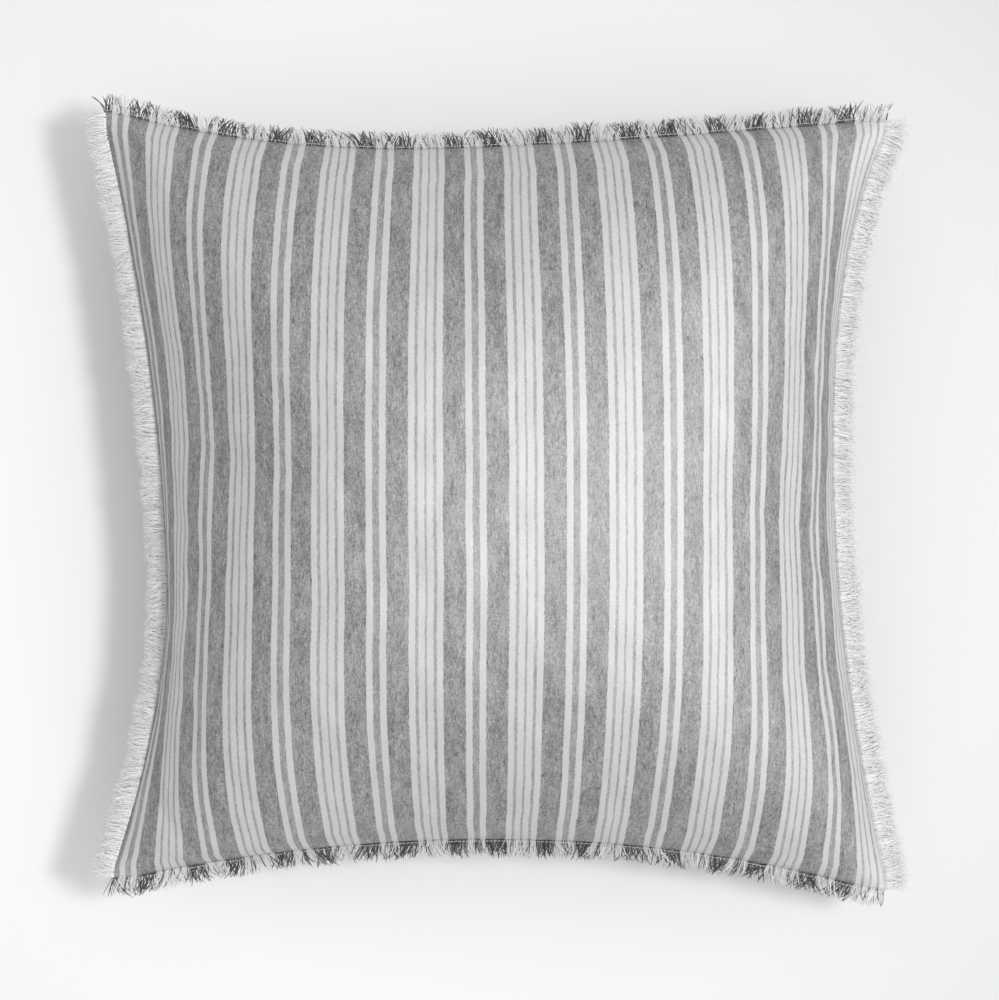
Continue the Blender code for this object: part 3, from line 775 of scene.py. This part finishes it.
def frayed(draw, kind, edge, layer, place, length):
    """Yarns of that length that stand out from the seam at those places, each with its own lean and curl."""
    count = len(place)
    root, outward, along = seam_line(edge, place)
    tufts = [share * smooth_noise(draw, place, size) for share, size in kind["lean"]]
    lean = sum(tufts) + draw.uniform(-kind["own_lean"], kind["own_lean"], count)
    curl_share, curl_size = kind["curl"]
    curl = curl_share * smooth_noise(draw, place, curl_size)
    curl += draw.uniform(-kind["own_curl"], kind["own_curl"], count)
    low, high = kind["rising"]
    rising = draw.uniform(low, high, count) if layer == "front" else draw.uniform(-high, -low, count)
    drop = draw.uniform(*kind["drop"], count)
    steps = np.linspace(0, 1, len(kind["profile"]))[None, :]
    reach = length[:, None] * steps
    sideways = reach * lean[:, None] + length[:, None] * curl[:, None] * steps**2
    wiggle = kind["wiggle"] * np.sin(steps * kind["waves"] + draw.uniform(0, 6.28, (count, 1))) * steps
    height = LAYERS[layer] + reach * rising[:, None] - length[:, None] * drop[:, None] * steps**2
    forward = reach * (1 - kind["bow"] * lean[:, None] ** 2 * steps) - ROOT_INSIDE
    paths = (root[:, None] + outward[:, None] * forward[..., None]
             + along[:, None] * (sideways + wiggle)[..., None]
             + np.array([0, 0, 1]) * height[..., None])
    radius = draw.uniform(*kind["radius"], (count, 1)) * np.array(kind["profile"])
    shade = np.stack([place, draw.uniform(0, 1, count)], axis=-1)
    return yarns(paths, radius, shade)


def warp_fringe(edge, layer, seed):
    """Cut warp yarns, evenly spaced."""
    draw = np.random.default_rng(seed)
    place = np.linspace(-half_side, half_side, WARP_ENDS) + draw.uniform(-0.0004, 0.0004, WARP_ENDS)
    place = np.clip(place, -half_side, half_side)
    length = (WARP_LENGTH + 0.0016 * smooth_noise(draw, place, 0.020)
              + draw.uniform(-0.0024, 0.0016, WARP_ENDS))
    return frayed(draw, WARP_FRINGE, edge, layer, place, length)


def weft_fringe(edge, layer, seed):
    """Unspun weft ends, spaced at random."""
    draw = np.random.default_rng(seed)
    place = np.sort(draw.uniform(-half_side, half_side, WEFT_ENDS))
    length = WEFT_LENGTHS[edge] * (
        0.93 + 0.08 * smooth_noise(draw, place, 0.007) + 0.07 * smooth_noise(draw, place, 0.030)
        + draw.uniform(-0.20, 0.07, WEFT_ENDS))
    return frayed(draw, WEFT_FRINGE, edge, layer, place, length)


def warp_yarn():
    """The cut warp yarns: charcoal or undyed by the stripe that each comes from."""
    material, start = finish("cut_warp_yarn")
    across, chance = flat_place(start)
    white, thin, middle = stripes_at(across)
    band = (1 - white - thin - middle).maths("MAXIMUM", 0.0)
    dark = (band * (0.70 + 0.35 * rise(chance, 0.10, 0.35)) + thin * (0.25 + 0.75 * rise(chance, 0.2, 0.5))
            + middle * (0.15 + 0.85 * rise(chance, 0.4, 0.6)))
    colour = mix(dark.maths("MINIMUM", 1.0), (0.82, 0.82, 0.815, 1), (0.062, 0.062, 0.064, 1))
    close(start, {"Base Color": colour, "Roughness": 0.85, "Specular IOR Level": 0.25, "Sheen Weight": 0.2})
    return material


def weft_yarn():
    """The undyed weft yarns, a little uneven from one to the next."""
    material, start = finish("cut_weft_yarn")
    _, chance = flat_place(start)
    colour = mix(chance, (0.93, 0.93, 0.93, 1), (0.80, 0.80, 0.80, 1))
    close(start, {"Base Color": colour, "Roughness": 0.9, "Specular IOR Level": 0.2, "Sheen Weight": 0.3})
    return material


cut_warp = warp_yarn()
cut_weft = weft_yarn()
fringes = {"front": [], "back": []}
for seed, (layer, edge) in enumerate(((layer, edge) for layer in LAYERS for edge in EDGES), 20):
    name = f"fringe_{layer}_{edge}_yarns"
    if edge in ("top", "bottom"):
        fringe = piece(name, warp_fringe(edge, layer, seed), cut_warp, "pillow")
    else:
        fringe = piece(name, weft_fringe(edge, layer, seed), cut_weft, "pillow")
    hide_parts(f"fringe_{layer}_{edge}")
    fringes[layer].append(fringe)


# ---------------------------------------------------------------- seam
# A lockstitch runs round the cover just outside the panels and holds them together: an undyed needle
# thread on top, and a bobbin thread underneath.

STITCH_LENGTH = 0.0030
STITCH_GAP = 0.0006
THREAD_RADIUS = 0.00022
THREAD_OUT = 0.0012
THREAD_RISE = 0.0011
THREAD_TAPER = 0.7            # a stitch's ends dip into the cloth and look thinner
STITCH_HUMP = 0.00025


def stitches(points, lift, seed):
    """Short arcs of thread along rows of points; lift says which way each arc stands up."""
    draw = np.random.default_rng(seed)
    count, steps, _ = points.shape
    hump = np.sin(np.linspace(0, math.pi, steps)) * STITCH_HUMP
    paths = points + hump[None, :, None] * np.array(lift)
    profile = np.ones((count, steps))
    profile[:, [0, -1]] = THREAD_TAPER
    shade = draw.uniform(0, 1, (count, 2))
    return yarns(paths, THREAD_RADIUS * profile, shade, sides=6)


def stitch_places(length):
    """Places along each stitch in a row of that length: one row of the array for each stitch."""
    count = round(length / STITCH_LENGTH)
    middles = (np.arange(count) + 0.5) * length / count - length / 2
    return middles[:, None] + np.linspace(-0.5, 0.5, 6) * (STITCH_LENGTH - STITCH_GAP)


def seam_thread(height, lift, seed):
    """Stitches all round the cover, at that height from the seam."""
    rows = []
    for edge in EDGES:
        places = stitch_places(FLAT_SIDE)
        root, outward, _ = seam_line(edge, places.ravel())
        points = root + outward * THREAD_OUT + np.array([0, 0, height])
        rows.append(points.reshape(places.shape + (3,)))
    return stitches(np.concatenate(rows), lift, seed)


def cloudy(start, scale, detail, distortion=0.0):
    """Smooth random values through a piece's own space."""
    place = start.node("TexCoord", output=3)
    sockets = {"Vector": place, "Scale": scale, "Detail": detail, "Distortion": distortion}
    return start.node("TexNoise", None, sockets)


def cotton_thread():
    """Twisted sewing thread, a little uneven in shade."""
    material, start = finish("sewing_thread")
    chance, _ = flat_place(start)
    twist = cloudy(start, 2600.0, 1.0)
    colour = mix(chance * 0.5 + twist * 0.5, (0.84, 0.84, 0.83, 1), (0.62, 0.62, 0.61, 1))
    bump = relief(twist, 0.4, 0.0001)
    close(start, {"Base Color": colour, "Roughness": 0.7, "Normal": bump, "Sheen Weight": 0.2})
    return material


sewing_thread = cotton_thread()
for thread, up, seed in (("needle", 1, 3), ("bobbin", -1, 4)):
    row = seam_thread(up * THREAD_RISE, (0, 0, up), seed)
    row = piece(f"seam_{thread}_stitches", row, sewing_thread, "pillow")
    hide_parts(f"seam_{thread}_thread")


# ---------------------------------------------------------------- zip tapes and their stitching
# The zip's two woven tapes lie behind the slit in the back. Each is sewn to the turned-under edge of its
# panel with one row of thread.

TAPE_REACH = 0.195
TAPE_INNER = 0.0008
TAPE_OUTER = 0.0140
TAPE_TOP = -0.00118
TAPE_THICKNESS = 0.0006
TAPE_EDGE = 0.0012            # the selvedge, and the sealed ends
TAPE_END = 0.0015
TAPE_THINNING = 0.00015
STITCHING_ACROSS = 0.0087
STITCHING_OUT = 0.00025


def tape_mesh(side):
    """One tape beside the zip's middle, a little thinner at its selvedge and its ends."""
    x, across = np.meshgrid(np.linspace(-TAPE_REACH, TAPE_REACH, 391),
                            np.linspace(TAPE_INNER, TAPE_OUTER, 15) * side)
    thinner = (np.clip((np.abs(across) - TAPE_OUTER) / TAPE_EDGE + 1, 0, 1) ** 2
               + np.clip((np.abs(x) - TAPE_REACH) / TAPE_END + 1, 0, 1) ** 2) * TAPE_THINNING
    top = on_zip(x, across, TAPE_TOP - thinner)
    bottom = on_zip(x, across, TAPE_TOP - TAPE_THICKNESS + thinner)
    return closed_sheet(top, bottom, x, across, side < 0)


def zip_tape_cloth():
    """Narrow-woven herringbone tape in charcoal polyester."""
    material, start = finish("zip_tape_weave")
    along, across = flat_place(start)
    zigzag = (across / 0.0022).maths("PINGPONG", 1.0)
    rib = ((along / 0.0006 + zigzag * 2.0) * (2 * math.pi)).maths("SINE")
    yarn = ((across / 0.00045) * (2 * math.pi)).maths("SINE")
    tint = grain(along / 0.0008, across / 0.0008, 3.0, 1.0)
    colour = mix(rib * 0.25 + yarn * 0.10 + tint * 0.7, (0.055, 0.055, 0.058, 1), (0.15, 0.15, 0.155, 1))
    bump = relief(rib * 0.5 + yarn * 0.5, 0.5, 0.00015)
    close(start, {"Base Color": colour, "Roughness": 0.8, "Normal": bump, "Sheen Weight": 0.2})
    return material


tape_cloth = zip_tape_cloth()
for half, side in (("lower", 1), ("upper", -1)):
    tape = piece(f"zip_tape_{half}_woven", tape_mesh(side), tape_cloth, "pillow")
    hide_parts(f"zip_tape_{half}")
    stitch_x = stitch_places(2 * TAPE_REACH)
    row_points = on_zip(stitch_x, np.full_like(stitch_x, STITCHING_ACROSS * side), STITCHING_OUT)
    row = stitches(row_points, zip_out, 5)
    row = piece(f"zip_stitching_{half}_stitches", row, sewing_thread, "pillow")
    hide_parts(f"zip_stitching_{half}")


# ---------------------------------------------------------------- zip teeth and stops
# Each tape carries a coil of nylon thread, and the two coils lock into each other. Small metal clips stop
# the slider at both ends.

COIL_PITCH = 0.00130
COIL_REACH = 0.180
COIL_MIDDLE = 0.00123
COIL_WIDE = 0.00090
COIL_HIGH = 0.00050
COIL_OUT = -0.0001
COIL_STEPS = 12               # along each turn
NYLON_RADIUS = 0.00027
STOP_FROM = 0.1803
STOP_TO = 0.1833
STOP_LENGTH = STOP_TO - STOP_FROM
STOP_LAYERS = ((0.0004, 0.0015), (-0.0010, 0.0006))     # a top stop's cap and foot, out from the coils
SHARP_ANGLE = math.radians(35)


def coil_mesh(side):
    """One flattened coil; the two coils are half a turn apart, so that their heads interlock."""
    turns = 2 * COIL_REACH / COIL_PITCH
    steps = round(turns * COIL_STEPS)
    share = np.linspace(0, 1, steps)
    turn = share * turns * 2 * math.pi + (0 if side > 0 else math.pi)
    x = (2 * share - 1) * (COIL_REACH - NYLON_RADIUS)
    path = on_zip(x, side * (COIL_MIDDLE - COIL_WIDE * np.cos(turn)), COIL_OUT + COIL_HIGH * np.sin(turn))
    return yarns(path[None], np.full((1, steps), NYLON_RADIUS), np.array([[0.0, 0.5]]), sides=6)


def nylon():
    """Charcoal nylon, slightly glossy and a little uneven."""
    material, start = finish("zip_nylon_coil")
    cloud = cloudy(start, 900.0, 2.0)
    colour = mix(cloud, (0.06, 0.06, 0.063, 1), (0.11, 0.11, 0.115, 1))
    bump = relief(cloud, 0.15, 0.0001)
    close(start, {"Base Color": colour, "Roughness": rise(cloud, 0.1, 0.9) * 0.2 + 0.28, "Normal": bump})
    return material


def zip_metal():
    """Nickel-plated zinc, die-cast: fine tumbling marks and slightly worn edges."""
    material, start = finish("zip_nickel")
    cloud = cloudy(start, 420.0, 3.0)
    scratch = cloudy(start, 2400.0, 2.0, 1.5)
    worn = rise(start.node("NewGeometry", output=7), 0.52, 0.60)
    colour = mix(cloud * 0.6 + worn * 0.4, (0.42, 0.42, 0.415, 1), (0.66, 0.655, 0.64, 1))
    rough = cloud * 0.16 + scratch * 0.12 + 0.16
    bump = relief(scratch, 0.12, 0.0001)
    close(start, {"Base Color": colour, "Metallic": 1.0, "Roughness": rough, "Normal": bump})
    return material


def cut_plate(outlines, low, high, bevel):
    """A flat plate between two heights, cut to its first outline and holed by the others."""
    curve = bpy.data.curves.new("plate", "CURVE")
    curve.dimensions = "2D"
    curve.fill_mode = "BOTH"
    for outline in outlines:
        spline = curve.splines.new("POLY")
        spline.points.add(len(outline) - 1)
        for point, (x, y) in zip(spline.points, outline):
            point.co = (x, y, 0, 1)
        spline.use_cyclic_u = True
    curve.bevel_depth = bevel
    curve.bevel_resolution = 2
    curve.offset = -bevel
    curve.extrude = (high - low) / 2 - bevel
    holder = bpy.data.objects.new("plate", curve)
    scene.collection.objects.link(holder)
    mesh = bpy.data.meshes.new_from_object(holder.evaluated_get(bpy.context.evaluated_depsgraph_get()))
    bpy.data.objects.remove(holder)
    mesh.transform(Matrix.Translation((0, 0, (low + high) / 2)))
    return mesh


def round_box(low_x, high_x, low_y, high_y, corner):
    """The outline of a rectangle with round corners."""
    outline = []
    middles = ((high_x - corner, high_y - corner), (low_x + corner, high_y - corner),
               (low_x + corner, low_y + corner), (high_x - corner, low_y + corner))
    for quarter, (middle_x, middle_y) in enumerate(middles):
        for step in range(7):
            angle = math.radians(quarter * 90 + step * 15)
            outline.append((middle_x + corner * math.cos(angle), middle_y + corner * math.sin(angle)))
    return outline


def joined(meshes, place):
    """One mesh from several made in the zip's own frame, with that frame at the place along the zip."""
    build = bmesh.new()
    for mesh in meshes:
        build.from_mesh(mesh)
    bmesh.ops.remove_doubles(build, verts=build.verts, dist=1e-7)
    bmesh.ops.recalc_face_normals(build, faces=build.faces)
    whole = bpy.data.meshes.new("joined")
    build.to_mesh(whole)
    build.free()
    frame_of_zip = Matrix((zip_along, zip_across, zip_out)).transposed().to_4x4()
    whole.transform(Matrix.Translation(zip_middle + zip_along * place) @ frame_of_zip)
    whole.polygons.foreach_set("use_smooth", [True] * len(whole.polygons))
    whole.set_sharp_from_angle(angle=SHARP_ANGLE)
    return whole


coil_nylon = nylon()
nickel = zip_metal()
for half, side in (("lower", 1), ("upper", -1)):
    coil = piece(f"zip_coil_{half}", coil_mesh(side), coil_nylon, "pillow")
    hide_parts(f"zip_teeth_{half}")
    clip_outline = round_box(0, STOP_LENGTH, 0.0007 * side, 0.0026 * side, 0.0004)[::side]
    clip = joined([cut_plate([clip_outline], low, high, 0.00025) for low, high in STOP_LAYERS], STOP_FROM)
    top_stop = piece(f"zip_top_clip_{half}", clip, nickel, "pillow")
    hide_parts(f"zip_top_stop_{half}")
bottom_clip = joined([
    cut_plate([round_box(0, STOP_LENGTH, -0.0026, 0.0026, 0.0005)], -0.0010, 0.0015, 0.0003),
    cut_plate([round_box(0.0006, 0.0024, -0.0020, 0.0020, 0.0004)], 0.0010, 0.0018, 0.0002)], -STOP_TO)
bottom_stop = piece("zip_bottom_clip", bottom_clip, nickel, "pillow")
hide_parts("zip_bottom_stop")


# ---------------------------------------------------------------- zip slider and pull tab
# The die-cast slider holds both coils between its two wings, which a post joins. Its pull tab swings on a
# bar under the bridge.

SLIDER_PLACE = tab_hinge["pos_m"][0]
SLIDER_HALF = 0.005
WING_HALF = 0.0038
WING_WAIST = 0.28
WING_EDGE = 0.0003
FLANGE_LENGTH = (-0.0030, 0.0034)
FLANGE_HEIGHT = (-0.0008, 0.0014)
FLANGE_EDGE = 0.0002
BRIDGE_THICKNESS = 0.0006
BRIDGE_HALF_WIDTH = 0.0009
TAB_AXIS_OUT = 0.00305
TAB_HALF = 0.0030
TAB_LENGTH = 0.0255
TAB_PAST_AXIS = 0.0006
TAB_THICKNESS = 0.0009
TAB_EDGE = 0.0002


def wing_outline():
    """A slider's wing from above: wide at the mouth, with a waist towards the closed end."""
    outline = []
    for step in range(28):
        angle = 2 * math.pi * step / 28
        x = SLIDER_HALF * math.copysign(abs(math.cos(angle)) ** 0.6, math.cos(angle))
        y = WING_HALF * math.copysign(abs(math.sin(angle)) ** 0.5, math.sin(angle))
        narrowing = WING_WAIST * (0.5 - 0.5 * x / SLIDER_HALF)
        outline.append((x, y * (1 - narrowing)))
    return outline


def bridge_mesh():
    """A flat strap that arches over the tab's bar."""
    arch = [(-0.0036, 0.0015), (-0.0035, 0.0028), (-0.0027, 0.0038), (-0.0012, 0.0041), (0.0012, 0.0041),
            (0.0027, 0.0038), (0.0035, 0.0028), (0.0036, 0.0015)]
    points = []
    for index, (x, out) in enumerate(arch):
        before = arch[max(index - 1, 0)]
        after = arch[min(index + 1, len(arch) - 1)]
        slope = Vector((after[0] - before[0], after[1] - before[1])).normalized()
        away = Vector((-slope.y, slope.x)) * BRIDGE_THICKNESS / 2
        for end, sign in ((-1, 1), (1, 1), (1, -1), (-1, -1)):
            points.append((x + away.x * sign, BRIDGE_HALF_WIDTH * end, out + away.y * sign))
    faces = [(0, 1, 2, 3), tuple(len(arch) * 4 - 1 - k for k in range(4))]
    for ring in range(len(arch) - 1):
        for corner in range(4):
            first = ring * 4 + corner
            second = ring * 4 + (corner + 1) % 4
            faces.append((first, second, second + 4, first + 4))
    mesh = bpy.data.meshes.new("bridge")
    mesh.from_pydata(points, [], faces)
    return mesh


outer_wing = cut_plate([wing_outline()], 0.0010, 0.0019, WING_EDGE)
inner_wing = cut_plate([wing_outline()], -0.0030, -0.0021, WING_EDGE)
flanges = [cut_plate([round_box(*FLANGE_LENGTH, from_y, to_y, 0.0003)], *FLANGE_HEIGHT, FLANGE_EDGE)
           for from_y, to_y in ((-0.0037, -0.0030), (0.0030, 0.0037))]
post = cut_plate([round_box(0.0012, 0.0046, -0.00028, 0.00028, 0.0002)], -0.0024, 0.0014, 0.00008)
slider_mesh = joined([outer_wing, inner_wing, *flanges, post, bridge_mesh()], SLIDER_PLACE)
slider = piece("zip_slider_body", slider_mesh, nickel, "slider")
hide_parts("zip_slider")

tab_end = TAB_PAST_AXIS - TAB_LENGTH
tab_outlines = [
    round_box(tab_end, TAB_PAST_AXIS, -TAB_HALF, TAB_HALF, 0.0016),
    round_box(-0.0066, -0.0004, -0.0016, 0.0016, 0.0007)[::-1],                      # round the bridge
    round_box(tab_end + 0.0030, tab_end + 0.0100, -0.0014, 0.0014, 0.0013)[::-1],    # to grip
]
tab_low = TAB_AXIS_OUT - TAB_THICKNESS / 2
tab_plate = cut_plate(tab_outlines, tab_low, tab_low + TAB_THICKNESS, TAB_EDGE)
tab_mesh = joined([tab_plate], SLIDER_PLACE)
tab = piece("zip_pull_tab_plate", tab_mesh, nickel, "pull_tab")
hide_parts("zip_pull_tab")


# ---------------------------------------------------------------- insert
# The insert is a ready-made pad in its own plain cotton ticking, 10 mm inside the cover's seam all round
# and stuffed with loose polyester fibre. It gives way behind the zip.

TICKING_DEPTH = 0.0021
TICKING_THICKNESS = 0.0006
TICKING_GAP = 0.0003          # between each ticking panel and the seam's plane
INSERT_MARGIN = 0.010
INSERT_ROWS = 120
CORNER_ROUNDING = 0.05
FILL_DEPTH = 0.0034
FILL_MARGIN = 0.014
FILL_ROWS = 100
RECESS_DEPTH = 0.0017
RECESS_EDGE = 0.008
TICKING_RECESS = 0.024        # half the recess's width in the ticking, and in the fill
FILL_RECESS = 0.026
RECESS_REACH = 0.215
CLUMPS = 16
CLUMP_SHORTEST = 0.03
CLUMP_LONGEST = 0.09
CLUMP_MIDDLE = 0.0012
CLUMP_HEIGHT = 0.0003
CLUMP_LIMIT = 4


def rounded_grid(margin, rows):
    """Flat places that stay that margin inside the seam, with rounded corners."""
    line = np.linspace(-half_side + margin, half_side - margin, rows + 1)
    x, y = np.meshgrid(line, line)
    rounding = 1 - CORNER_ROUNDING * (x * y / half_side**2) ** 4
    return x * rounding, y * rounding


def recess(y, half_width):
    """How much deeper a layer of the insert lies behind the zip."""
    return RECESS_DEPTH * np.clip((half_width - np.abs(y - ZIP_ROW)) / RECESS_EDGE, 0, 1)


def plain_cotton():
    """Close plain weave in bleached cotton."""
    material, start = finish("ticking_cotton")
    across, along = flat_place(start)
    weave = (across * (math.pi / 0.0004)).maths("SINE") * (along * (math.pi / 0.0004)).maths("SINE")
    slub = grain(across / 0.0005, along / 0.009, 2.2, 1.0)
    colour = mix(slub, (0.86, 0.86, 0.85, 1), (0.74, 0.74, 0.73, 1))
    bump = relief(weave * 0.5 + slub, 0.3, 0.00015)
    close(start, {"Base Color": colour, "Roughness": 0.85, "Normal": bump, "Sheen Weight": 0.1})
    return material


def fibre():
    """Loose crimped polyester fibre, matted together."""
    material, start = finish("polyester_fibre")
    tangle = cloudy(start, 700.0, 4.0, 2.5)
    clump = cloudy(start, 45.0, 2.0)
    colour = mix(tangle * 0.5 + clump * 0.5, (0.93, 0.93, 0.92, 1), (0.78, 0.78, 0.78, 1))
    bump = relief(tangle * 0.6 + clump, 0.8, 0.001)
    close(start, {"Base Color": colour, "Roughness": 0.95, "Normal": bump, "Sheen Weight": 0.3})
    return material


ticking_cotton = plain_cotton()
insert_x, insert_y = rounded_grid(INSERT_MARGIN, INSERT_ROWS)
behind_zip = recess(insert_y, TICKING_RECESS) * np.clip((RECESS_REACH - np.abs(insert_x)) / RECESS_EDGE, 0, 1)
for side, depth in (("front", TICKING_DEPTH), ("back", TICKING_DEPTH + behind_zip)):
    cloth = shell(side, insert_x, insert_y, depth, TICKING_THICKNESS, TICKING_GAP)
    ticking = piece(f"insert_{side}_ticking_cloth", cloth, ticking_cotton, "pillow")
    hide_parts(f"insert_{side}_ticking")

fill_x, fill_y = rounded_grid(FILL_MARGIN, FILL_ROWS)
clumps = 0 * fill_x
clump_draw = np.random.default_rng(11)
for _ in range(CLUMPS):
    angle = clump_draw.uniform(0, math.pi)
    length = clump_draw.uniform(CLUMP_SHORTEST, CLUMP_LONGEST)
    begin = clump_draw.uniform(0, 6.28)
    clumps += np.sin(2 * math.pi * (fill_x * math.cos(angle) + fill_y * math.sin(angle)) / length + begin)
fill_depth = FILL_DEPTH + CLUMP_MIDDLE + CLUMP_HEIGHT * np.clip(clumps, -CLUMP_LIMIT, CLUMP_LIMIT)
fill_top = cover_points("front", fill_x, fill_y, fill_depth)
fill_bottom = cover_points("back", fill_x, fill_y, fill_depth + recess(fill_y, FILL_RECESS))
fill_mesh = closed_sheet(fill_top, fill_bottom, fill_x, fill_y)
fill = piece("insert_fibre_fill", fill_mesh, fibre(), "pillow")
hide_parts("insert_fill")


# ---------------------------------------------------------------- labels
# Two blank woven labels lie flat between the cover and the insert: the insert's own tag and the cover's
# smaller care label.

LABEL_DEPTH = 0.0012
LABEL_THICKNESS = 0.0004


def label_satin():
    """White woven satin with nothing on it: fine floats along, a firmer woven border."""
    material, start = finish("label_satin")
    across, along = flat_place(start)
    satin = (across * (math.pi / 0.00025)).maths("SINE") * 0.5 + grain(across / 0.0003, along / 0.003, 5.0)
    colour = mix(satin, (0.88, 0.88, 0.87, 1), (0.80, 0.80, 0.79, 1))
    bump = relief(satin, 0.25, 0.0001)
    close(start, {"Base Color": colour, "Roughness": 0.45, "Normal": bump, "Sheen Weight": 0.1})
    return material


satin = label_satin()
for node in ("insert_tag", "care_label"):
    low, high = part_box(node)
    label_x, label_y = np.meshgrid(np.linspace(low.x, high.x, 41), np.linspace(low.y, high.y, 31))
    cloth = shell("back", label_x, label_y, LABEL_DEPTH, LABEL_THICKNESS)
    label = piece(f"{node}_woven", cloth, satin, "pillow")
    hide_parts(node)
